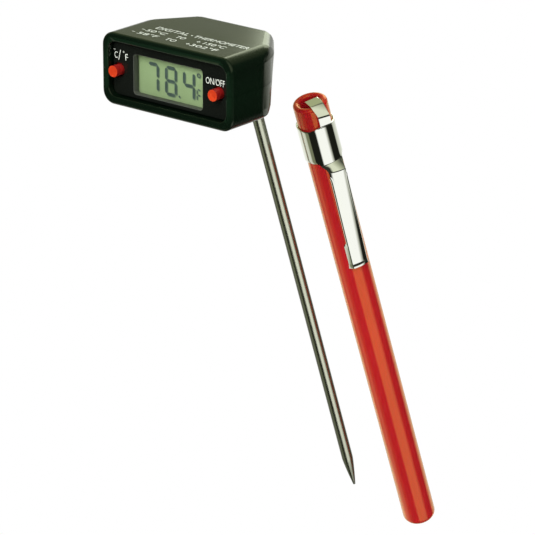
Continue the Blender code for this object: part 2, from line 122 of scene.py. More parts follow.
# The stem's point.
TIP_LENGTH = 11.0
TIP_RADIUS = 0.35
STEM_BORE = 1.25

SHEATH_BORE = 3.2
SHEATH_LIP = 0.9
SHEATH_FLOOR = 2.0

# The clip, one chromed strip: its strap over the mouth, its band, and its leaf.
SHEET = 0.35
BAND_TOP = 7.0
BAND_BOTTOM = 18.2
BAND_RADIUS = 5.375
BAND_STRIP = 8.0  # width of the strip where it runs into the band
STRAP_TIP_WIDTH = 3.9
STRAP_WIDTH = 3.4
STRAP_TOP = 1.0
STRAP_FOLD = -1.9
LEAF_TOP = 21.3
LEAF_BOTTOM = 55.9
LEAF_WIDTH = 4.9
STRAP_TWIST = 20.0  # degrees that the strap is turned from square at its outer fold
LEAF_TWIST = 17.0  # and the leaf at its neck
FOLD_RADIUS = 0.4
FLANGE_DEPTH = 0.6
TAB_LENGTH = 9.0
TAB_DEPTH = 1.1  # how much deeper the left flange is at the leaf's end
TAB_SPLAY = 30.0  # degrees that it opens there

# The camera, in degrees and metres.
CAMERA_AZIMUTH = 46.21
CAMERA_ELEVATION = 35.15
CAMERA_ROLL = 15.16
CAMERA_DISTANCE = 0.9
CAMERA_AIM = (-0.0154, 0.0030, 0.0788)
CAMERA_LENS = 201.9
SENSOR_WIDTH = 36.0

# Lights and floor; lights in metres, the floor in millimetres.
SOFT_LIGHT = (0.95, 0.97, 0.92, 1.0)
SOFT_STRENGTH = 0.55
LIGHT_AIM = (0.0, -0.01, 0.12)
SHEEN_TINT = (0.93, 1.0, 0.78, 1.0)
SHEEN_SIZE = 0.09
SHEEN_POWER = 0.055
SHEEN_BEARING = 170.0  # degrees round from the camera
SHEEN_RISE = 0.07
SHEEN_DISTANCE = 0.16
SHEEN_ASIDE = 0.06
FLOOR_RADIUS = 3000.0
FLOOR_DROP = 200.0  # clear of the sheath when it is slid right down


# ---- Frames ----


def joint_axis(name):
    found = next(joint for joint in frame["joints"] if joint["name"] == name)
    return Vector(found["axis"]).normalized()


def mount_place(name):
    found = next(mount for mount in frame["record"]["mounts"] if mount["name"] == name)
    return Vector(found["pos_m"])


def local_frame(back, up, origin):
    """The matrix that takes millimetres in a frame to metres in the world."""
    right = back.cross(up)
    matrix = Matrix((right, back, up)).transposed().to_4x4()
    matrix.translation = origin
    return matrix @ Matrix.Scale(MM, 4)


def span(node, local):
    """A CAD node's lowest and highest corners in a frame, in millimetres."""
    inverse = local.inverted()
    points = [inverse @ vertex.co for vertex in frame["nodes"][node].data.vertices]
    low = Vector([min(point[i] for point in points) for i in range(3)])
    high = Vector([max(point[i] for point in points) for i in range(3)])
    return low, high


def head_frame():
    """Along the head's joints, from the middle of its front lower edge."""
    back = joint_axis("units_button_press")
    up = -joint_axis("battery_cap_lift")
    level = local_frame(back, up, Vector())
    low, high = span("upper_shell", level)
    underside = (level.inverted() @ mount_place("head_underside")).z
    return local_frame(back, up, level @ Vector(((low.x + high.x) / 2, low.y, underside)))


def tube_frame(back, up, node):
    """A frame on a tube's axis at the middle of its top."""
    level = local_frame(back, up, Vector())
    low, high = span(node, level)
    top = Vector(((low.x + high.x) / 2, (low.y + high.y) / 2, high.z))
    return local_frame(back, up, level @ top)


def stem_frame():
    """Upright, on the stem's axis where it leaves the neck."""
    up = Vector((0, 0, 1))
    back = Vector((0, 1, 0))
    origin = tube_frame(back, up, "stem_tube").translation
    origin.z = mount_place("neck_face").z
    return local_frame(back, up, origin)


def clip_frame():
    """As the sheath's frame, but turned so that the clip's leaf is in front."""
    up = -joint_axis("sheath_slide")
    right = -joint_axis("clip_flex")
    return tube_frame(up.cross(right), up, "sheath_tube")


def sheath_frame():
    up = -joint_axis("sheath_slide")
    right = Vector((up.z, 0, -up.x)).normalized()
    return tube_frame(up.cross(right), up, "sheath_tube")


BUTTONS = ("units_button", "power_button")
HEAD = head_frame()
STEM = stem_frame()
SHEATH = sheath_frame()
CLIP = clip_frame()

HEAD_WIDTH = 2 * span("upper_shell", HEAD)[1].x
HEAD_HEIGHT = span("upper_shell", HEAD)[1].z
PARTING = HEAD_HEIGHT / 2


# ---- Materials ----


def configure(thing, **settings):
    """Sets attributes of a node, a modifier, a light or the like."""
    for key, value in settings.items():
        setattr(thing, key, value)
    return thing


def add_node(tree, kind, inputs=None, **settings):
    """A shader node with its settings and some of its inputs given."""
    node = configure(tree.nodes.new("ShaderNode" + kind), **settings)
    feed(tree, node, inputs or {})
    return node


def feed(tree, node, inputs):
    """Sets a node's inputs, each to a value or to another node's output."""
    for key, value in inputs.items():
        if isinstance(value, bpy.types.NodeSocket):
            tree.links.new(value, node.inputs[key])
        else:
            node.inputs[key].default_value = value


def new_material(name):
    """A new material, its node tree and its main shader."""
    material = bpy.data.materials.new(name)
    material.use_nodes = True
    return material, material.node_tree, material.node_tree.nodes["Principled BSDF"]


def noise(tree, scale, stretch=(1.0, 1.0, 1.0), detail=3.0):
    """Noise in the object's own space; scale is in features per metre."""
    own_space = add_node(tree, "TexCoord").outputs["Object"]
    stretched = add_node(tree, "Mapping", {"Vector": own_space, "Scale": stretch})
    inputs = {"Vector": stretched.outputs["Vector"], "Scale": scale, "Detail": detail}
    return add_node(tree, "TexNoise", inputs).outputs["Fac"]


def ramp(tree, factor, stops):
    """A colour ramp; stops are (position, colour)."""
    node = add_node(tree, "ValToRGB", {"Fac": factor})
    elements = node.color_ramp.elements
    while len(elements) < len(stops):
        elements.new(0.5)
    for element, (position, colour) in zip(elements, stops):
        element.position = position
        element.color = (*colour, 1.0)
    return node.outputs["Color"]


def spread(tree, factor, low, high, start=0.3, end=0.7):
    """A number that runs from low to high as the factor runs from start to end."""
    inputs = {"Value": factor, "From Min": start, "From Max": end, "To Min": low, "To Max": high}
    return add_node(tree, "MapRange", inputs).outputs["Result"]


def bump(tree, height, strength, depth):
    """Normals disturbed by a height; the depth is in millimetres."""
    inputs = {"Height": height, "Strength": strength, "Distance": depth * MM}
    return add_node(tree, "Bump", inputs).outputs["Normal"]


def math_node(tree, operation, *values):
    return add_node(tree, "Math", dict(enumerate(values)), operation=operation).outputs["Value"]


def mix_colour(tree, factor, first, second, blend_type="MIX"):
    inputs = {"Factor": factor, "A": first, "B": second}
    node = add_node(tree, "Mix", inputs, data_type="RGBA", blend_type=blend_type)
    return node.outputs["Result"]


def mix_shader(tree, factor, first, second):
    return add_node(tree, "MixShader", {"Fac": factor, 1: first, 2: second}).outputs["Shader"]


def turned_away(tree):
    """Runs from 0 where a surface faces the eye to 1 at its rim."""
    return add_node(tree, "LayerWeight", {"Blend": 0.5}).outputs["Facing"]


def tint(colour, factor):
    return tuple(min(1.0, channel * factor) for channel in colour)


def surface(
    name, colour, roughness, metallic=0.0, mottle=0.08, mottle_scale=120.0, grain_scale=3000.0,
    grain=0.1, stretch=(1.0, 1.0, 1.0),
):
    """A finish with a little variation in its colour and roughness, and a fine grain."""
    material, tree, shader = new_material(name)
    broad = noise(tree, mottle_scale)
    fine = noise(tree, grain_scale, stretch)
    stops = [(0.3, tint(colour, 1.0 - mottle)), (0.7, tint(colour, 1.0 + mottle))]
    feed(tree, shader, {
        "Metallic": metallic,
        "Base Color": ramp(tree, broad, stops),
        "Roughness": spread(tree, broad, roughness * 0.9, roughness * 1.12),
        "Normal": bump(tree, fine, grain, GRAIN_DEPTH),
    })
    return material


def shell_plastic():
    """Black ABS with a fine spark texture, its edges rubbed a little paler."""
    colour = (0.0012, 0.0045, 0.0020)
    material, tree, shader = new_material("shell_plastic")
    worn_edge = add_node(tree, "NewGeometry").outputs["Pointiness"]
    fine = noise(tree, 3600.0, detail=2.0)
    feed(tree, shader, {
        "Base Color": ramp(tree, worn_edge, [(0.5, colour), (0.62, tint(colour, 2.5))]),
        "Roughness": spread(tree, noise(tree, 90.0), 0.18, 0.23),
        "Normal": bump(tree, fine, 0.10, 0.006),
        "Specular Tint": SHEEN_TINT,
    })
    return material


def panel_plastic():
    """Smooth black plastic with the faint waviness of a moulded face."""
    return surface(
        "panel_plastic", (0.0045, 0.0058, 0.0045), 0.24, mottle_scale=60.0, grain_scale=700.0,
        grain=0.04,
    )


def sheath_red():
    """Glossy red plastic whose highlights are tinted orange, with orange rims that are a painted rim reflection in
    its colour.
    """
    material, tree, shader = new_material("sheath_red")
    core = (0.52, 0.0150, 0.0210)
    # painted rim reflection: the colour runs from red to orange as the surface turns away from the eye
    painted_rim_light = [(0.0, core), (0.53, core), (0.62, (0.62, 0.11, 0.035)), (0.76, (0.72, 0.30, 0.11))]
    broad = noise(tree, 45.0)
    base = ramp(tree, turned_away(tree), painted_rim_light)
    shade = ramp(tree, broad, [(0.35, (0.93, 0.93, 0.93)), (0.65, (1.0, 1.0, 1.0))])
    feed(tree, shader, {
        "Base Color": mix_colour(tree, 1.0, base, shade, "MULTIPLY"),
        "Roughness": spread(tree, broad, 0.09, 0.13),
        "IOR": 1.8,
        "Subsurface Weight": 0.35,
        "Subsurface Radius": (1.0, 0.15, 0.08),
        "Subsurface Scale": 1.5 * MM,
        "Specular IOR Level": 0.9,
        "Specular Tint": (1.0, 0.50, 0.10, 1.0),
        "Normal": bump(tree, noise(tree, 500.0, (1.0, 1.0, 0.15)), 0.02, 0.01),
    })
    return material


def button_red():
    """Bright orange-red plastic, glossy; its face is painted brighter and its round side a deeper red, painted
    light and shade on one plastic.
    """
    material, tree, shader = new_material("button_red")
    broad = noise(tree, 500.0)
    # painted light and shade: the face that looks out is coloured brighter, the round side darker
    face = ramp(tree, broad, [(0.35, (0.46, 0.032, 0.009)), (0.65, (0.54, 0.044, 0.011))])
    side = ramp(tree, broad, [(0.35, (0.26, 0.010, 0.010)), (0.65, (0.32, 0.013, 0.011))])
    normal = add_node(tree, "NewGeometry").outputs["Normal"]
    outward = -joint_axis("units_button_press")
    facing_user = add_node(tree, "VectorMath", {0: normal, 1: outward}, operation="DOT_PRODUCT")
    on_face = spread(tree, facing_user.outputs["Value"], 0.0, 1.0, 0.3, 0.9)
    feed(tree, shader, {
        "Base Color": mix_colour(tree, on_face, side, face),
        "Roughness": spread(tree, broad, 0.22, 0.30),
        "Subsurface Weight": 0.15,
        "Subsurface Scale": 0.4 * MM,
        "Specular Tint": (1.0, 0.60, 0.20, 1.0),
    })
    return material


def polished_steel():
    """Drawn steel with fine marks along the stem; its colour is a painted reflection, bright where it faces the
    eye and dark where it turns away.
    """
    material, tree, shader = new_material("stem_steel")
    # painted reflection: bright towards the middle of the stem, dark at its edges
    stops = [
        (0.0, (0.84, 0.86, 0.72)), (0.22, (0.70, 0.72, 0.58)), (0.50, (0.09, 0.10, 0.065)),
        (1.0, (0.07, 0.06, 0.035)),
    ]
    marks = noise(tree, 900.0, LENGTHWISE)
    feed(tree, shader, {
        "Metallic": 1.0,
        "Base Color": ramp(tree, turned_away(tree), stops),
        "Roughness": spread(tree, marks, 0.26, 0.29),
    })
    return material


def chrome_plate():
    """Bright plate with hair-fine rubbing marks and a trace of haze.

    It is rougher to light that has bounced off a matt surface, which keeps fine speckle down.
    """
    material, tree, shader = new_material("chrome")
    haze = spread(tree, noise(tree, 200.0), 0.03, 0.07)
    bounced = add_node(tree, "LightPath").outputs["Is Diffuse Ray"]
    feed(tree, shader, {
        "Metallic": 1.0,
        "Base Color": (0.93, 0.94, 0.89, 1.0),
        "Roughness": math_node(tree, "MULTIPLY_ADD", bounced, 0.6, haze),
        "Normal": bump(tree, noise(tree, 900.0, LENGTHWISE), 0.015, 0.01),
    })
    return material


def display_glass():
    """The display's reflector: grey-green, a little uneven."""
    material, tree, shader = new_material("lcd")
    stops = [(0.35, (0.285, 0.370, 0.200)), (0.65, (0.325, 0.410, 0.235))]
    feed(tree, shader, {
        "Base Color": ramp(tree, noise(tree, 70.0), stops),
        "Roughness": 0.45,
        "Normal": bump(tree, noise(tree, 5000.0), 0.05, 0.01),
    })
    return material


def clear_plastic():
    """A clear window that shows what is behind it, with a reflection that grows at its edges."""
    material, tree, shader = new_material("lens")
    tree.nodes.remove(shader)
    through = add_node(tree, "BsdfTransparent", {"Color": (0.94, 0.96, 0.93, 1.0)})
    haze = spread(tree, noise(tree, 300.0), 0.03, 0.08)
    shine = add_node(tree, "BsdfGlossy", {"Roughness": haze})
    fresnel = add_node(tree, "Fresnel", {"IOR": 1.45}).outputs["Fac"]
    behind = add_node(tree, "NewGeometry").outputs["Backfacing"]
    shown = math_node(tree, "MULTIPLY", fresnel, math_node(tree, "SUBTRACT", 1.0, behind))
    mixed = mix_shader(tree, shown, through.outputs["BSDF"], shine.outputs["BSDF"])
    feed(tree, tree.nodes["Material Output"], {"Surface": mixed})
    return material


PLASTIC = shell_plastic()
PANEL = panel_plastic()
# painted light: the grey of the window's inner walls stands in for light falling on them
BEZEL = surface("window_bezel", (0.055, 0.060, 0.050), 0.4, grain_scale=1500.0)
LENS = clear_plastic()
LCD = display_glass()
INK = surface("lcd_ink", (0.062, 0.090, 0.088), 0.4, mottle_scale=900.0, mottle=0.25)
INK_SHADOW = surface("lcd_shadow", (0.155, 0.205, 0.135), 0.45, mottle_scale=900.0, mottle=0.12)
PRINT = surface("white_print", (0.72, 0.76, 0.68), 0.5, mottle_scale=2500.0, mottle=0.12)
RED = sheath_red()
BUTTON = button_red()
STEEL = polished_steel()
CHROME = chrome_plate()
RUBBER = surface("rubber", (0.018, 0.018, 0.018), 0.75, grain=0.3)
BOARD = surface("board", (0.02, 0.14, 0.05), 0.4, mottle_scale=400.0)
EPOXY = surface("epoxy", (0.012, 0.012, 0.012), 0.32, grain_scale=900.0)
SPRING = surface("spring_steel", (0.55, 0.54, 0.50), 0.3, 1.0, stretch=(1.0, 0.05, 1.0))
CELL = surface("cell_steel", (0.60, 0.60, 0.58), 0.22, 1.0, mottle_scale=200.0)
SCREW = surface("screw_steel", (0.45, 0.45, 0.43), 0.3, 1.0, mottle_scale=500.0)
BRASS = surface("brass", (0.70, 0.50, 0.22), 0.3, 1.0, stretch=(1.0, 1.0, 20.0))
COPPER = surface("copper", (0.50, 0.17, 0.07), 0.35, 1.0)
SLEEVE = surface("sleeve", (0.72, 0.66, 0.50), 0.5, mottle_scale=300.0)


# ---- Shapes ----


def add_object(name, shape, local, material=None, sharp=35.0):
    """Makes an object of a shape drawn in millimetres in a frame."""
    bmesh.ops.recalc_face_normals(shape, faces=shape.faces)
    mesh = bpy.data.meshes.new(name)
    shape.to_mesh(mesh)
    shape.free()
    mesh.transform(local)
    if material:
        mesh.materials.append(material)
    mesh.shade_smooth()
    mesh.set_sharp_from_angle(angle=math.radians(sharp))
    obj = bpy.data.objects.new(name, mesh)
    bpy.context.scene.collection.objects.link(obj)
    return obj


def settle(obj, material=None, sharp=35.0):
    """Replaces an object's modifiers by their result."""
    bpy.context.view_layer.update()
    evaluated = obj.evaluated_get(bpy.context.evaluated_depsgraph_get())
    mesh = bpy.data.meshes.new_from_object(evaluated)
    obj.modifiers.clear()
    obj.data = mesh
    mesh.name = obj.name
    if material:
        mesh.materials.clear()
        mesh.materials.append(material)
        for face in mesh.polygons:
            face.material_index = 0
    mesh.shade_smooth()
    mesh.set_sharp_from_angle(angle=math.radians(sharp))
    return obj


def combine(target, others, operation="DIFFERENCE"):
    """Cuts the others from the target, or joins them to it, and removes them."""
    for other in others:
        modifier = target.modifiers.new(other.name, "BOOLEAN")
        configure(modifier, operation=operation, solver="EXACT", object=other)
    settle(target)
    for other in others:
        bpy.data.objects.remove(other, do_unlink=True)


def place(obj, body, slot, *nodes):
    """The piece moves with a body and stands for CAD nodes; the slot is not used."""
    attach(obj, body)
    if nodes:
        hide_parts(*nodes)


def bridge(shape, first, second):
    """Faces between two rings of vertices."""
    for i in range(len(first)):
        after = (i + 1) % len(first)
        shape.faces.new((first[i], first[after], second[after], second[i]))


def prism(shape, low, high):
    """A closed body between two outlines that have the same number of points."""
    first, second = [[shape.verts.new(point) for point in outline] for outline in (low, high)]
    shape.faces.new(list(reversed(first)))
    shape.faces.new(second)
    bridge(shape, first, second)


def loft(rings):
    """A closed body through rings that have the same number of points."""
    shape = bmesh.new()
    made = [[shape.verts.new(point) for point in ring] for ring in rings]
    for first, second in zip(made, made[1:]):
        bridge(shape, first, second)
    shape.faces.new(list(reversed(made[0])))
    shape.faces.new(made[-1])
    return shape


def arc(radius, steps, start=0.0, sweep=2 * math.pi):
    """Points round part of a circle, both ends included; the whole circle unless told."""
    angles = [start + sweep * i / steps for i in range(steps + 1)]
    return [(radius * math.cos(angle), radius * math.sin(angle)) for angle in angles]


def turned(profile, steps=ROUND, loop=False):
    """A profile of (radius, height) pairs spun round z; a loop is a ring that misses the axis."""
    shape = bmesh.new()
    rings = []
    for radius, height in profile:
        if radius < 1e-6:
            rings.append([shape.verts.new((0, 0, height))] * steps)
            continue
        circle = arc(radius, steps)[:-1]
        rings.append([shape.verts.new((x, y, height)) for x, y in circle])
    pairs = list(zip(rings, rings[1:]))
    if loop:
        pairs.append((rings[-1], rings[0]))
    for first, second in pairs:
        for i in range(steps):
            after = (i + 1) % steps
            corners = list(dict.fromkeys((first[i], second[i], second[after], first[after])))
            if len(corners) > 2:
                shape.faces.new(corners)
    return shape


def filleted(corners, loop=False, steps=CORNER):
    """A line through (a, b, radius) corners, each rounded by its radius."""
    found = []
    count = len(corners)
    for i, (a, b, radius) in enumerate(corners):
        here = Vector((a, b))
        if radius <= 0 or (not loop and i in (0, count - 1)):
            found.append(here)
            continue
        before = Vector(corners[i - 1][:2]) - here
        after = Vector(corners[(i + 1) % count][:2]) - here
        half = before.angle(after) / 2
        reach = min(radius / math.tan(half), 0.49 * before.length, 0.49 * after.length)
        start = here + before.normalized() * reach
        end = here + after.normalized() * reach
        inner = (before.normalized() + after.normalized()).normalized()
        centre = here + inner * reach / math.cos(half)
        found += swept(centre, start, end, steps)
    return found


def swept(centre, start, end, steps):
    """Points of the shorter arc from start to end round a centre."""
    first = start - centre
    last = end - centre
    angle = math.atan2(first.x * last.y - first.y * last.x, first.dot(last))
    points = []
    for i in range(steps + 1):
        points.append(centre + Matrix.Rotation(angle * i / steps, 2) @ first)
    return points


def rounded_ring(width, height, radius, y, centre=(0.0, 0.0)):
    """A rounded rectangle across the head, at a depth y."""
    half_width = width / 2
    half_height = height / 2
    signs = [(-1, -1), (1, -1), (1, 1), (-1, 1)]
    corners = [(side * half_width, up * half_height, radius) for side, up in signs]
    outline = filleted(corners, loop=True)
    return [Vector((centre[0] + point.x, y, centre[1] + point.y)) for point in outline]


def slab(low, high, radius, edge):
    """A rounded plate across the head, with its front and back edges rounded too."""
    width = high.x - low.x
    height = high.z - low.z
    centre = ((low.x + high.x) / 2, (low.z + high.z) / 2)
    rings = []
    for y, inward in ((low.y, 1), (high.y, -1)):
        for drawn_in, along in round_over(edge)[::inward]:
            size = (width - 2 * drawn_in, height - 2 * drawn_in)
            rings.append(rounded_ring(*size, radius - drawn_in, y + inward * along, centre))
    return loft(rings)


def round_over(radius, steps=4):
    """A rounded edge as steps of (how far it is drawn in, how far along it is)."""
    angles = [math.pi / 2 * i / steps for i in range(steps + 1)]
    return [(radius * (1 - math.sin(a)), radius * (1 - math.cos(a))) for a in angles]


def opening(width, height, radius, front, back, centre, flare=0.0):
    """A cutter across the head's front, wider at its mouth by the flare."""
    steps = [(flare, -1.0)]
    if flare:
        steps += round_over(flare)
    steps.append((0.0, back - front))
    rings = []
    for grow, along in steps:
        size = (width + 2 * grow, height + 2 * grow)
        rings.append(rounded_ring(*size, radius + grow, front + along, centre))
    return loft(rings)


def bar(radius, start, end):
    """A cylinder along z."""
    return turned([(0, end), (radius, end), (radius, start), (0, start)], ROUND // 2)


def along_y(x, z):
    """A frame inside the head for a shape turned round an axis that runs front to back."""
    return HEAD @ Matrix.Translation((x, 0, z)) @ Matrix.Rotation(math.radians(90), 4, "X")


# ---- Head ----


def button_frame(name):
    """A frame on a button's axis, z out towards the user and nought at the head's front."""
    low, high = span(name, HEAD)
    return along_y((low.x + high.x) / 2, (low.z + high.z) / 2)


def head_outline(inset, height):
    """The hexagonal plan at a height, drawn in by inset, from the front left.

    The slanting faces' corners move by less than the inset, which keeps them about parallel.
    """
    lean = BACK_SLOPE * (1.0 - height / HEAD_HEIGHT)
    side = HEAD_WIDTH / 2 - inset
    back = BACK_WIDTH / 2 - inset * 0.6
    depth = HEAD_DEPTH - lean - inset
    flank = SIDE_DEPTH - inset * 0.4
    return [
        (-side, inset), (side, inset), (side, flank), (back, depth), (-back, depth), (-side, flank),
    ]


def edge_weight(edge):
    """How round an edge of the head is: full at the upright corners, none round the display."""
    start, end = edge.verts[0].co, edge.verts[1].co
    front = 6.0  # edges nearer than this are round the display
    along_sides = EDGE_ROUNDING / CORNER_ROUNDING
    if start.y < front and end.y < front:
        return 0.0
    if abs(start.z - end.z) > 1.0:
        return 1.0
    if start.y < front or end.y < front:
        return along_sides
    return 0.8 * along_sides


def head_solid(name, inset=0.0, front=None, segments=10):
    """The head's solid, drawn in by inset; a cavity's front face is given by its depth."""
    shape = bmesh.new()
    outlines = []
    for height in (inset, HEAD_HEIGHT - inset):
        outline = head_outline(inset, height)
        if front is not None:
            outline[:2] = [(x, front) for x, y in outline[:2]]
        outlines.append([(x, y, height) for x, y in outline])
    prism(shape, *outlines)
    weight = shape.edges.layers.float.new("bevel_weight_edge")
    for edge in shape.edges:
        edge[weight] = edge_weight(edge)
    obj = add_object(name, shape, HEAD)
    rounding = max(CORNER_ROUNDING - inset, 1.0) * MM
    sides = obj.modifiers.new("soft sides", "BEVEL")
    configure(sides, limit_method="WEIGHT", width=rounding, segments=segments)
    rim = obj.modifiers.new("crisp rim", "BEVEL")
    angle = math.radians(60)
    configure(rim, limit_method="ANGLE", angle_limit=angle, width=FRONT_RADIUS * MM, segments=5)
    return settle(obj)


def neck_ring(inset, height):
    """The neck's plan: a half round behind, and a web that runs forward into the head."""
    radius = NECK_RADIUS - inset
    points = [Vector((-radius, -NECK_REACH, height)), Vector((radius, -NECK_REACH, height))]
    points += [Vector((x, y, height)) for x, y in arc(radius, 24, sweep=math.pi)]
    return points


def neck_solid():
    foot = [neck_ring(inset, along) for inset, along in round_over(NECK_FOOT)]
    top = [neck_ring(inset, NECK_TOP - along) for inset, along in round_over(NECK_ROUNDING, 8)]
    return add_object("neck", loft(foot + top[::-1]), STEM)


def shell_cutters():
    """Everything that is hollow in the head, as cutters."""
    width = HEAD_WIDTH - 2 * RIM
    height = HEAD_HEIGHT - 2 * RIM
    middle = (0.0, PARTING)
    seat_back = span("front_panel", HEAD)[1].y + 0.3
    seat = opening(width, height, RECESS_RADIUS, 0.0, seat_back, middle, flare=0.35)
    ledge = opening(width - 2 * LEDGE, height - 2 * LEDGE, 1.2, 1.0, 8.0, middle)
    cutters = [
        head_solid("cavity", WALL, front=seat_back + 1.0, segments=2),
        add_object("panel_seat", seat, HEAD),
        add_object("ledge", ledge, HEAD),
        add_object("collar_pocket", bar(COLLAR_ROOM, 2.2, 12.0), STEM),
        *[add_object("flange_room", bar(FLANGE_RADIUS + 0.3, -7.0, -1.8), button_frame(name))
          for name in BUTTONS],
        add_object("stem_hole", bar(span("stem_tube", STEM)[1].x + 0.3, -1.0, 4.0), STEM),
    ]
    radius, at = cap_frame()
    recess = filleted([(0, 0.95, 0), (radius + 0.3, 0.95, 0.2), (radius + 0.3, 0.1, 0.1),
                       (radius + 1.0, -0.6, 0), (0, -0.6, 0)])
    cutters.append(add_object("cap_recess", turned(recess), at))
    cutters.append(add_object("cap_hole", bar(radius - 0.7, -1.0, 3.0), at))
    return cutters


def cap_frame():
    """The battery cap's radius, and a frame on its axis with nought at the head's underside."""
    low, high = span("battery_cap", HEAD)
    return (high.x - low.x) / 2, HEAD @ Matrix.Translation((0, (low.y + high.y) / 2, 0))


def screw_frame(side):
    low, high = span(f"shell_screw_{side}", HEAD)
    return HEAD @ Matrix.Translation(((low.x + high.x) / 2, (low.y + high.y) / 2, 0))


def build_shells():
    """One hollow solid, cut in two at the parting plane."""
    whole = head_solid("whole_head")
    combine(whole, [neck_solid()], "UNION")
    combine(whole, shell_cutters())
    for side in ("left", "right"):
        at = screw_frame(side)
        combine(whole, [add_object("post", bar(POST_RADIUS, 1.0, POST_TOP), at)], "UNION")
        seat = filleted([(0, 2.2, 0), (SCREW_HEAD_ROOM, 2.2, 0), (SCREW_HEAD_ROOM, 0.2, 0.15),
                         (3.0, -0.5, 0), (0, -0.5, 0)])
        bore = bar(SCREW_ROOM, -1.0, 16.5)
        combine(whole, [add_object("seat", turned(seat), at), add_object("bore", bore, at)])
    for name, sign in (("upper_shell", -1), ("lower_shell", 1)):
        half = bpy.data.objects.new(name + "_look", whole.data.copy())
        bpy.context.scene.collection.objects.link(half)
        shape = bmesh.new()
        bmesh.ops.create_cube(shape, size=FAR)
        height = PARTING + sign * (FAR / 2 - PARTING_GAP)
        bmesh.ops.translate(shape, verts=shape.verts, vec=(0, 0, height))
        combine(half, [add_object("other_half", shape, HEAD)])
        settle(half, PLASTIC, sharp=30.0)
        configure(half.modifiers.new("even shading", "WEIGHTED_NORMAL"), keep_sharp=True)
        settle(half, PLASTIC, sharp=30.0)
        place(half, "head", "shell_plastic", name)
    bpy.data.objects.remove(whole, do_unlink=True)


def build_panel():
    low, high = span("front_panel", HEAD)
    panel = add_object("front_panel_look", slab(low, high, 1.9, 0.2), HEAD)
    lens_low, lens_high = span("window_lens", HEAD)
    centre = ((lens_low.x + lens_high.x) / 2, (lens_low.z + lens_high.z) / 2)
    width = lens_high.x - lens_low.x + WINDOW_CLEARANCE
    height = lens_high.z - lens_low.z + WINDOW_CLEARANCE
    window = opening(width, height, 0.9, low.y, 8.0, centre, flare=0.3)
    cutters = [add_object("window", window, HEAD)]
    hole = [(0, 1.0), (BUTTON_HOLE_MOUTH, 1.0), (BUTTON_HOLE_MOUTH, -low.y),
            (BUTTON_HOLE, -low.y - 0.3), (BUTTON_HOLE, -8.0), (0, -8.0)]
    for name in BUTTONS:
        cutters.append(add_object("hole", turned(hole, ROUND // 2), button_frame(name)))
    combine(panel, cutters)
    settle(panel, PANEL)
    paint_bezel(panel, centre, width + BEZEL_MARGIN, height + BEZEL_MARGIN)
    place(panel, "head", "panel_plastic", "front_panel")

    lens = add_object("window_lens_look", slab(lens_low, lens_high, 0.8, 0.12), HEAD, LENS)
    place(lens, "head", "lens", "window_lens")


def paint_bezel(panel, centre, width, height):
    """Colours the window's flared inner walls grey, painted light where light falls on the walls."""
    panel.data.materials.append(BEZEL)
    inverse = HEAD.inverted()
    turn = inverse.to_3x3().normalized()
    for face in panel.data.polygons:
        spot = inverse @ face.center
        inside = abs(spot.x - centre[0]) < width / 2 and abs(spot.z - centre[1]) < height / 2
        if inside and abs((turn @ face.normal).y) < 0.9:
            face.material_index = 1


def segment(shape, start, end, stroke, front, thickness):
    """One bar of a character, pointed at both ends, between two points of the display."""
    run = (end - start).normalized()
    across = Vector((-run.y, run.x)) * stroke / 2
    start = start + run * SEGMENT_GAP
    end = end - run * SEGMENT_GAP
    near = start + run * stroke / 2
    far = end - run * stroke / 2
    outline = [start, near - across, far - across, end, far + across, near + across]
    rings = [[(point.x, y, point.y) for point in outline] for y in (front + thickness, front)]
    prism(shape, *rings)


def character(shape, bars, left, foot, width, height, stroke, front, thickness):
    """A seven-segment character; bars are lettered a to g, clockwise from the top."""
    middle = foot + height / 2
    top = foot + height
    right = left + width
    ends = {
        "a": ((left, top), (right, top)),
        "b": ((right, top), (right, middle)),
        "c": ((right, middle), (right, foot)),
        "d": ((left, foot), (right, foot)),
        "e": ((left, middle), (left, foot)),
        "f": ((left, top), (left, middle)),
        "g": ((left, middle), (right, middle)),
    }
    for bar_name in bars:
        start, end = (Vector(point) for point in ends[bar_name])
        segment(shape, start, end, stroke, front, thickness)


def reading(front, thickness, shift):
    """The display's reading, 78.4 degrees, with its unit at the right."""
    shape = bmesh.new()
    left = DIGIT_LEFT + shift[0]
    foot = DIGIT_FOOT + shift[1]
    for i, bars in enumerate(("abc", "abcdefg", "bcfg")):
        character(
            shape, bars, left + i * DIGIT_PITCH, foot, DIGIT_WIDTH, DIGIT_HEIGHT, DIGIT_STROKE,
            front, thickness,
        )
    point = Vector((left + 2 * DIGIT_PITCH - POINT_OFFSET, foot))
    reach = Vector((0.55, 0))
    segment(shape, point - reach, point + reach, 0.75, front, thickness)
    unit_left = left + 3 * DIGIT_PITCH - UNIT_OFFSET
    character(
        shape, "aefg", unit_left, foot + 0.2, UNIT_WIDTH, UNIT_HEIGHT, UNIT_STROKE, front, thickness
    )
    at = (unit_left + 0.6, foot + 7.35)
    add_ring(shape, at, DEGREE_RADIUS, DEGREE_BORE, front, thickness)
    return shape


def add_ring(shape, centre, outer, inner, front, thickness):
    """A flat ring on the display."""
    x, z = centre
    back = front + thickness
    rings = []
    for y, radius in ((front, outer), (front, inner), (back, inner), (back, outer)):
        circle = arc(radius, 24)[:-1]
        rings.append([shape.verts.new((x + right, y, z + up)) for right, up in circle])
    for first, second in zip(rings, rings[1:] + rings[:1]):
        bridge(shape, first, second)


def build_display():
    """The reflector, with the reading's ink in front of the shadow it casts."""
    low, high = span("lcd_cell", HEAD)
    cell = add_object("lcd_cell_look", slab(low, high, 0.5, 0.15), HEAD, LCD)
    place(cell, "head", "lcd", "lcd_cell")
    shadow = add_object("lcd_shadow", reading(low.y - 0.01, 0.01, INK_SHIFT), HEAD, INK_SHADOW)
    place(shadow, "head", "lcd")
    ink = add_object("lcd_reading", reading(low.y - 0.03, 0.015, (0.0, 0.0)), HEAD, INK)
    place(ink, "head", "lcd")


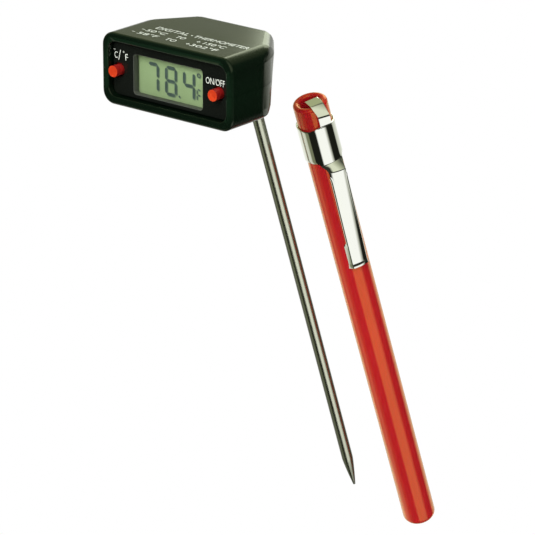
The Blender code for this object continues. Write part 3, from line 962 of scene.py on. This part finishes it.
def add_words(shape, words, box, plane):
    """Raised words fitted to a box (left, right, low, high) on a plane."""
    curve = bpy.data.curves.new("words", "FONT")
    configure(curve, body=words, offset=PRINT_WEIGHT, extrude=0.5, resolution_u=6)
    text = bpy.data.objects.new("words", curve)
    bpy.context.scene.collection.objects.link(text)
    bpy.context.view_layer.update()
    evaluated = text.evaluated_get(bpy.context.evaluated_depsgraph_get())
    mesh = bpy.data.meshes.new_from_object(evaluated)
    bpy.data.objects.remove(text, do_unlink=True)
    xs = [vertex.co.x for vertex in mesh.vertices]
    ys = [vertex.co.y for vertex in mesh.vertices]
    left, right, low, high = box
    across = (right - left) / (max(xs) - min(xs))
    tall = (high - low) / (max(ys) - min(ys))
    to_corner = Matrix.Translation((-min(xs), -min(ys), 0))
    fit = Matrix.Diagonal((across, tall, PRINT_LIFT * 2, 1)) @ to_corner
    mesh.transform(plane @ Matrix.Translation((left, low, 0)) @ fit)
    shape.from_mesh(mesh)
    bpy.data.meshes.remove(mesh)


def build_print():
    """The white lettering: button names on the panel, and the range on top of the head."""
    panel_front = span("front_panel", HEAD)[0].y
    facing = Matrix.Translation((0, panel_front, 0)) @ Matrix.Rotation(math.radians(90), 4, "X")
    shape = bmesh.new()
    degree = "°"
    for words, box in (
        (degree, (-20.6, -20.1, 15.2, 15.7)),
        ("C", (-20.3, -19.2, 13.1, 14.9)),
        ("/", (-18.9, -18.0, 12.7, 15.6)),
        (degree, (-17.2, -16.7, 15.0, 15.5)),
        ("F", (-16.3, -15.4, 13.0, 14.8)),
        ("ON/OFF", (12.7, 19.4, 12.0, 13.8)),
    ):
        add_words(shape, words, box, facing)
    panel_print = add_object("panel_print", shape, HEAD, PRINT)
    place(panel_print, "head", "panel_plastic")

    top = Matrix.Translation((0, 0, HEAD_HEIGHT))
    shape = bmesh.new()
    minus = "−"
    for words, box in (
        (minus, (-16.4, -15.3, 4.7, 4.9)),
        ("58" + degree + "F", (-14.1, -7.0, 3.9, 5.8)),
        ("TO", (-4.1, -0.5, 3.9, 5.7)),
        ("+", (3.2, 4.4, 4.1, 5.4)),
        ("302" + degree + "F", (4.9, 14.2, 3.9, 5.8)),
        (minus, (-15.7, -14.6, 8.1, 8.3)),
        ("50" + degree + "C", (-13.9, -6.8, 7.3, 9.2)),
        ("TO", (-3.2, 0.0, 7.3, 9.1)),
        ("+", (4.2, 5.4, 7.5, 8.8)),
        ("150" + degree + "C", (6.8, 14.3, 7.3, 9.2)),
        ("DIGITAL", (-13.3, -1.8, 10.8, 12.9)),
        ("•", (-0.9, -0.4, 11.5, 12.0)),
        ("THERMOMETER", (0.4, 19.6, 10.8, 12.7)),
    ):
        add_words(shape, words, box, top)
    top_print = add_object("top_print", shape, HEAD, PRINT)
    place(top_print, "head", "shell_plastic")


def build_buttons():
    for name in BUTTONS:
        low, high = span(name, HEAD)
        radius = BUTTON_RADIUS
        flange_front = span("front_panel", HEAD)[1].y + 0.3
        flange_back = flange_front + FLANGE_THICKNESS
        dish = 0.12
        profile = filleted(
            [(0, -low.y - dish, 0), (radius * 0.55, -low.y - dish * 0.6, 1.5),
             (radius * 0.78, -low.y, 0.3), (radius, -low.y, 0.38), (radius, -flange_front, 0),
             (FLANGE_RADIUS, -flange_front, 0.1), (FLANGE_RADIUS, -flange_back, 0.1),
             (PLUNGER_RADIUS, -flange_back, 0), (PLUNGER_RADIUS, -high.y, 0.2), (0, -high.y, 0)]
        )
        button = add_object(name + "_look", turned(profile), button_frame(name), BUTTON)
        place(button, name, "button_red", name)


def build_underside():
    """The coin-slotted battery cap with its seal, and the two screws."""
    radius, at = cap_frame()
    profile = filleted(
        [(0, 2.5, 0), (5.8, 2.5, 0.3), (5.8, 0.75, 0), (radius, 0.75, 0.1), (radius, 0.0, 0.25),
         (radius - 0.9, 0.0, 0.1), (radius - 1.1, 0.2, 0.1), (0, 0.2, 0)]
    )
    cap = add_object("battery_cap_look", turned(profile), at)
    slot = slab(Vector((-4.8, -0.85, -0.6)), Vector((4.8, 0.85, 0.9)), 0.3, 0.2)
    combine(cap, [add_object("coin_slot", slot, at)])
    settle(cap, PLASTIC)
    place(cap, "battery_cap", "shell_plastic", "battery_cap")

    ring_low, ring_high = span("battery_seal", HEAD)
    section = (ring_high.z - ring_low.z) / 2
    reach = (ring_high.x - ring_low.x) / 2 - section
    middle = (ring_high.z + ring_low.z) / 2
    circle = arc(section, 16, sweep=-2 * math.pi)[:-1]
    circle = [(reach + out, middle + up) for out, up in circle]
    seal = add_object("battery_seal_look", turned(circle, loop=True), at, RUBBER)
    place(seal, "battery_seal", "rubber", "battery_seal")

    for side in ("left", "right"):
        name = f"shell_screw_{side}"
        profile = filleted(
            [(0, 15.6, 0), (0.5, 15.6, 0), (0.85, 14.6, 0), (0.85, 1.9, 0), (2.1, 1.9, 0.05),
             (2.1, 1.0, 0.3), (1.3, 0.55, 0.5), (0, 0.5, 0)]
        )
        screw = add_object(name + "_look", turned(profile, 48), screw_frame(side))
        cuts = []
        for turn in (0, 90):
            cross = screw_frame(side) @ Matrix.Rotation(math.radians(turn), 4, "Z")
            blade = slab(Vector((-1.2, -0.24, -0.1)), Vector((1.2, 0.24, 1.3)), 0.08, 0.05)
            cuts.append(add_object("cross", blade, cross))
        combine(screw, cuts)
        settle(screw, SCREW)
        place(screw, "head", "screw_steel", name)


# ---- Stem, sheath and clip ----


def build_stem():
    low, high = span("stem_tube", STEM)
    radius = high.x
    full = low.z + TIP_LENGTH
    profile = [(0, low.z), (TIP_RADIUS * 0.8, low.z)]
    steps = 24
    for i in range(steps, -1, -1):
        along = i / steps
        profile.append(
            (TIP_RADIUS + (radius - TIP_RADIUS) * (1 - along**1.25), full - TIP_LENGTH * along)
        )
    profile += [(radius, high.z - 0.2), (radius - 0.2, high.z), (STEM_BORE, high.z)]
    profile += [(STEM_BORE, full + 0.5), (0, full - 2.0)]
    stem = add_object("stem_tube_look", turned(profile), STEM, STEEL)
    place(stem, "head", "stem_steel", "stem_tube")


def build_sheath():
    low, high = span("sheath_tube", SHEATH)
    radius = high.x
    floor = low.z
    inside = floor + SHEATH_FLOOR
    profile = filleted(
        [(0, floor, 0), (radius, floor, 2.4), (radius, 0, SHEATH_LIP),
         (SHEATH_BORE, 0, SHEATH_LIP), (SHEATH_BORE, inside, 0.6), (0, inside, 0)],
        steps=10,
    )
    tube = add_object("sheath_tube_look", turned(profile, 2 * ROUND), SHEATH, RED)
    place(tube, "sheath", "sheath_red", "sheath_tube")


def clip_line():
    """The strip's middle line as (out, up) points, from the strap's tip to the leaf's end."""
    corners = [
        (1.3, STRAP_TOP, 0), (4.2, 0.65, 2.0), (7.1, STRAP_FOLD, 1.5), (7.1, -5.2, 1.0),
        (BAND_RADIUS, -6.4, 0.7), (BAND_RADIUS, -BAND_TOP, 0), (BAND_RADIUS, -BAND_BOTTOM, 0),
        (BAND_RADIUS, -BAND_BOTTOM - 0.5, 0.5), (6.9, -LEAF_TOP, 0.9), (6.6, -LEAF_TOP - 9.2, 20.0),
        (5.7, -LEAF_BOTTOM + 1.4, 1.2), (5.9, -LEAF_BOTTOM, 0),
    ]
    points = filleted(corners, steps=6)
    line = [points[0]]
    longest = 0.8
    for point in points[1:]:
        gap = point - line[-1]
        parts = max(1, math.ceil(gap.length / longest))
        line += [line[-1] + gap / parts * (i + 1) for i in range(parts)]
    return line


def eased(value):
    value = min(1.0, max(0.0, value))
    return value * value * (3 - 2 * value)


def on_strap(up):
    return up > -BAND_TOP - 0.001


def on_band(up):
    return not on_strap(up) and up >= -BAND_BOTTOM - 0.001


def fold_angle(up):
    """How far the leaf's edges are folded in: they start flat at the leaf's neck."""
    return math.pi / 2 * eased((-LEAF_TOP - 0.6 - up) / 3.0)


def over_mouth(up):
    """Runs from 0 at the strap's tip to 1 at its outer fold."""
    return eased((STRAP_TOP - up) / (STRAP_TOP - STRAP_FOLD))


def strip_width(up):
    """The strip is widest where it runs into the band, and narrows to the strap and the leaf."""
    if on_strap(up):
        tip = STRAP_TIP_WIDTH + (STRAP_WIDTH - STRAP_TIP_WIDTH) * over_mouth(up)
        return tip + (BAND_STRIP - STRAP_WIDTH) * eased((-up - BAND_TOP + 1.0)) ** 2
    if on_band(up):
        return BAND_STRIP
    neck = max(0.0, 1.0 - (-BAND_BOTTOM - up) / 3.4)
    whole = LEAF_WIDTH + (BAND_STRIP - LEAF_WIDTH) * neck**2.5
    return whole - 2 * FOLD_RADIUS * math.sin(fold_angle(up))


def strip_curvature(up):
    """How round the strip is across: as the band on the band, nearly flat elsewhere."""
    band = 1 / BAND_RADIUS
    if on_strap(up):
        return 0.02 + (band - 0.02) * eased((-up - BAND_TOP + 2.0) / 2.0)
    if on_band(up):
        return band
    leaf = 0.15
    return leaf + (band - leaf) * (1 - eased((-BAND_BOTTOM - up) / 3.0))


def strip_twist(up):
    """How far the strip is turned from square, in radians: strap and leaf were fitted askew."""
    if on_band(up):
        return 0.0
    if on_strap(up):
        share = (0.4 + 0.6 * over_mouth(up)) * (1.0 - eased((-up - BAND_TOP + 2.5) / 2.5))
        return math.radians(STRAP_TWIST) * share
    along = -BAND_BOTTOM - up
    share = eased(along / 3.5) * (1.0 - 0.75 * along / (LEAF_BOTTOM - BAND_BOTTOM))
    return math.radians(LEAF_TWIST) * share


def strip_rows(line):
    """Points across the strip at each point of its middle line, and each row's outward normal."""
    columns = 17
    rows = []
    normals = []
    for i, here in enumerate(line):
        run = line[min(i + 1, len(line) - 1)] - line[max(i - 1, 0)]
        normal = Vector((-run.y, run.x)).normalized()
        half = strip_width(here.y) / 2
        bend = 1 / strip_curvature(here.y)
        turn = strip_twist(here.y)
        row = []
        for j in range(columns):
            across = half * (2 * j / (columns - 1) - 1)
            sag = bend - math.sqrt(bend * bend - across * across)
            spot = here - normal * sag
            out = spot.x + across * math.sin(turn)
            row.append(Vector((across * math.cos(turn), -out, spot.y)))
        rows.append(row)
        normals.append(Vector((-math.sin(turn) * normal.x, -math.cos(turn) * normal.x, normal.y)))
    return rows, normals


def add_grid(shape, rows):
    made = [[shape.verts.new(point) for point in row] for row in rows]
    for first, second in zip(made, made[1:]):
        for i in range(len(first) - 1):
            shape.faces.new((first[i], first[i + 1], second[i + 1], second[i]))


def flange_rows(line, rows, normals, side):
    """The leaf's folded edge on one side; the left one splays into a tab at the leaf's end."""
    found = []
    for here, row, normal in zip(line, rows, normals):
        fold = fold_angle(here.y)
        if fold <= 0:
            continue
        tab = 0.0
        if side < 0:
            tab = eased((here.y + LEAF_BOTTOM - TAB_LENGTH) / -1.2)
        fold -= math.radians(TAB_SPLAY) * tab
        grown = eased(fold_angle(here.y) / (math.pi / 4) - 1.0)
        depth = (FLANGE_DEPTH + TAB_DEPTH * tab) * grown + 0.01
        edge = row[-1] if side > 0 else row[0]
        out = (row[-1] - row[0]).normalized() * side
        points = []
        for share in range(6):
            turn = fold * share / 5
            drop = normal * FOLD_RADIUS * (1 - math.cos(turn))
            points.append(edge + out * FOLD_RADIUS * math.sin(turn) - drop)
        down = out * math.cos(fold) - normal * math.sin(fold)
        points += [points[-1] + down * depth * share for share in (0.5, 1.0)]
        found.append(points if side > 0 else points[::-1])
    return found


def band_rows(line):
    """The part of the band that goes round the sheath from one side of the strip to the other."""
    half = math.asin(BAND_STRIP / 2 / BAND_RADIUS)
    round_back = arc(BAND_RADIUS, 80, half, 2 * math.pi - 2 * half)
    rows = []
    for here in line:
        if -BAND_BOTTOM - 0.001 <= here.y <= -BAND_TOP + 0.001:
            rows.append([Vector((right, -front, here.y)) for front, right in round_back])
    return rows


def build_clip():
    """Strap, band and leaf in one strip."""
    line = clip_line()
    rows, normals = strip_rows(line)
    shape = bmesh.new()
    add_grid(shape, rows)
    add_grid(shape, band_rows(line))
    for side in (-1, 1):
        add_grid(shape, flange_rows(line, rows, normals, side))
    bmesh.ops.remove_doubles(shape, verts=shape.verts, dist=0.005)
    clip = add_object("pocket_clip", shape, CLIP, CHROME, sharp=60.0)
    sheet = clip.modifiers.new("sheet", "SOLIDIFY")
    configure(sheet, thickness=SHEET * MM, offset=0.0, use_even_offset=True)
    edges = clip.modifiers.new("edges", "BEVEL")
    angle = math.radians(65)
    configure(edges, limit_method="ANGLE", angle_limit=angle, width=0.08 * MM, segments=2)
    settle(clip, CHROME, sharp=50.0)
    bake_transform(clip)
    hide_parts("clip_band", "clip_leaf")


# ---- CAD nodes that stay, inside the head and the stem ----


def dress_nodes():
    for material, names in (
        (RUBBER, ("lcd_connector_upper", "lcd_connector_lower", "stem_bung")),
        (BOARD, ("circuit_board",)),
        (EPOXY, ("chip_blob", "thermistor_bead")),
        (SPRING, ("units_switch_dome", "power_switch_dome", "battery_contact", "cap_contact")),
        (CELL, ("battery_cell",)),
        (PLASTIC, ("battery_cradle",)),
        (BRASS, ("stem_collar",)),
        (SLEEVE, ("insulating_sleeve",)),
        (COPPER, ("sensor_lead_left", "sensor_lead_right")),
    ):
        for name in names:
            mesh = frame["nodes"][name].data
            mesh.materials.clear()
            mesh.materials.append(material)


# ---- Studio ----


def direction(azimuth, elevation):
    """Which way a place round the object is, in degrees right of the front and up."""
    around = math.radians(azimuth)
    level = math.cos(math.radians(elevation))
    rise = math.sin(math.radians(elevation))
    return Vector((math.sin(around) * level, -math.cos(around) * level, rise))


def camera_axes():
    """The camera's right, up and back."""
    azimuth = math.radians(CAMERA_AZIMUTH)
    roll = math.radians(CAMERA_ROLL)
    back = direction(CAMERA_AZIMUTH, CAMERA_ELEVATION)
    right = Vector((math.cos(azimuth), math.sin(azimuth), 0))
    up = back.cross(right)
    tilted = right * math.cos(roll) - up * math.sin(roll)
    return tilted, back.cross(tilted), back


def build_camera():
    right, up, back = camera_axes()
    data = bpy.data.cameras.new("camera")
    configure(data, lens=CAMERA_LENS, sensor_width=SENSOR_WIDTH, clip_start=0.05, clip_end=20.0)
    camera = bpy.data.objects.new("camera", data)
    turn = Matrix((right, up, back)).transposed().to_4x4()
    turn.translation = Vector(CAMERA_AIM) + back * CAMERA_DISTANCE
    camera.matrix_world = turn
    bpy.context.scene.collection.objects.link(camera)
    bpy.context.scene.camera = camera


# What reflections show. Each zone takes over from the one below between two heights, which run
# from -1 straight down to 1 straight up, and is a row of (degrees right of the camera, brightness,
# greenness).
BENCH = ((-180, 0.05, 0.4), (180, 0.05, 0.4))
ZONES = (
    # What upright surfaces show, which is below the horizon.
    (-0.86, -0.80, (
        (-180, 1.0, 0.1), (-86, 0.62, 0.35), (-79, 0.20, 0.8), (-63, 0.20, 0.8),
        (-59, 0.012, 0.6), (-18, 0.012, 0.6), (-11, 1.0, 0.08), (38, 1.0, 0.05),
        (50, 0.45, 0.3), (57, 0.012, 0.6), (103, 0.010, 0.6), (110, 0.55, 0.3), (180, 1.0, 0.1),
    )),
    # A dark band in front, just below the horizon, that shows in folds and bends.
    (-0.40, -0.34, (
        (-180, 0.9, 0.1), (-125, 0.7, 0.2), (-112, 0.03, 0.5), (112, 0.03, 0.5), (125, 0.7, 0.2),
        (180, 0.9, 0.1),
    )),
    # The same band carried past the horizon, with a dim wall behind that flat tops show.
    (-0.10, -0.03, (
        (-180, 0.40, 0.9), (-125, 0.38, 0.8), (-112, 0.03, 0.5), (112, 0.03, 0.5),
        (130, 0.34, 0.8), (180, 0.40, 0.9),
    )),
    # What tilted surfaces show, which is above the horizon.
    (0.14, 0.24, (
        (-180, 0.40, 0.9), (-150, 0.38, 0.9), (-115, 0.05, 0.4), (-60, 0.05, 0.4),
        (-30, 0.72, 0.5), (20, 0.75, 0.45), (50, 0.42, 0.6), (90, 0.05, 0.4), (130, 0.32, 0.8),
        (160, 0.40, 0.9), (180, 0.40, 0.9),
    )),
)


def panels(tree, share, zone):
    """A zone's row as colours; the share runs once round the object."""
    stops = []
    for degrees, light, green in zone:
        colour = (light * (1 - 0.1 * green), light, light * (1 - 0.5 * green))
        stops.append((degrees / 360 + 0.5, colour))
    return ramp(tree, share, stops)


def background(tree, colour, strength=1.0):
    inputs = {"Color": colour, "Strength": strength}
    return add_node(tree, "Background", inputs).outputs["Background"]


def build_world():
    """White to the eye, soft light on matt surfaces, and a studio of panels in reflections."""
    world = bpy.data.worlds.new("studio")
    bpy.context.scene.world = world
    world.use_nodes = True
    tree = world.node_tree
    tree.nodes.clear()
    towards = add_node(tree, "TexCoord").outputs["Generated"]
    from_camera = (0, 0, math.radians(90 - CAMERA_AZIMUTH))
    turn = add_node(tree, "Mapping", {"Vector": towards, "Rotation": from_camera})
    split = add_node(tree, "SeparateXYZ", {"Vector": turn.outputs["Vector"]})
    around = math_node(tree, "ARCTAN2", split.outputs["Y"], split.outputs["X"])
    share = math_node(tree, "MULTIPLY_ADD", around, 1 / (2 * math.pi), 0.5)
    shown = panels(tree, share, BENCH)
    for start, end, zone in ZONES:
        above = spread(tree, split.outputs["Z"], 0.0, 1.0, start, end)
        shown = mix_colour(tree, above, shown, panels(tree, share, zone))

    rays = add_node(tree, "LightPath")
    soft = background(tree, SOFT_LIGHT, SOFT_STRENGTH)
    light = mix_shader(tree, rays.outputs["Is Glossy Ray"], soft, background(tree, shown))
    seen = mix_shader(tree, rays.outputs["Is Camera Ray"], light, background(tree, WHITE))
    add_node(tree, "OutputWorld", {"Surface": seen})


def add_light(name, size, power, location, away, colour=(1, 1, 1)):
    """A square soft light that shines back along away and is hidden from the camera."""
    data = configure(bpy.data.lights.new(name, "AREA"), size=size, energy=power, color=colour)
    light = bpy.data.objects.new(name, data)
    light.location = location
    light.rotation_euler = away.to_track_quat("Z", "Y").to_euler()
    light.visible_camera = False
    bpy.context.scene.collection.objects.link(light)
    return light


def build_lights():
    """Two lights that reflections don't show, in degrees and metres round what they face."""
    for name, azimuth, elevation, distance, size, power in (
        ("key", 15, 55, 0.9, 0.5, 9.0), ("fill", 110, 30, 1.0, 0.6, 3.0),
    ):
        away = direction(azimuth, elevation)
        light = add_light(name, size, power, Vector(LIGHT_AIM) + away * distance, away)
        light.visible_glossy = False


def build_sheen_panel():
    """A soft panel behind the head that only the right rear of its top reflects."""
    right = camera_axes()[0]
    heading = math.radians(CAMERA_AZIMUTH + SHEEN_BEARING)
    away = Vector((math.sin(heading), -math.cos(heading), SHEEN_RISE)).normalized()
    top = HEAD @ Vector((0, HEAD_DEPTH / 2, HEAD_HEIGHT))
    location = top + away * SHEEN_DISTANCE + Vector((right.x, right.y, 0)) * SHEEN_ASIDE
    add_light("sheen", SHEEN_SIZE, SHEEN_POWER, location, away, SHEEN_TINT[:3])


def build_floor():
    """A wide pale floor, plain white to the eye, that reflections don't show."""
    shape = bmesh.new()
    bmesh.ops.create_circle(shape, cap_ends=True, segments=64, radius=FLOOR_RADIUS)
    bmesh.ops.translate(shape, verts=shape.verts, vec=(0, 0, -FLOOR_DROP))
    material, tree, shader = new_material("pale_floor")
    feed(tree, shader, {"Base Color": (0.85, 0.85, 0.83, 1.0)})
    glow = add_node(tree, "Emission", {"Color": WHITE}).outputs["Emission"]
    to_eye = add_node(tree, "LightPath").outputs["Is Camera Ray"]
    mixed = mix_shader(tree, to_eye, shader.outputs["BSDF"], glow)
    feed(tree, tree.nodes["Material Output"], {"Surface": mixed})
    floor = add_object("floor", shape, Matrix.Scale(MM, 4), material)
    floor.visible_glossy = False


def build_studio():
    bpy.context.scene.view_settings.view_transform = "Standard"
    build_world()
    build_floor()
    build_camera()
    build_lights()
    build_sheen_panel()


build_shells()
build_panel()
build_display()
build_print()
build_buttons()
build_underside()
build_stem()
build_sheath()
build_clip()
dress_nodes()
build_studio()
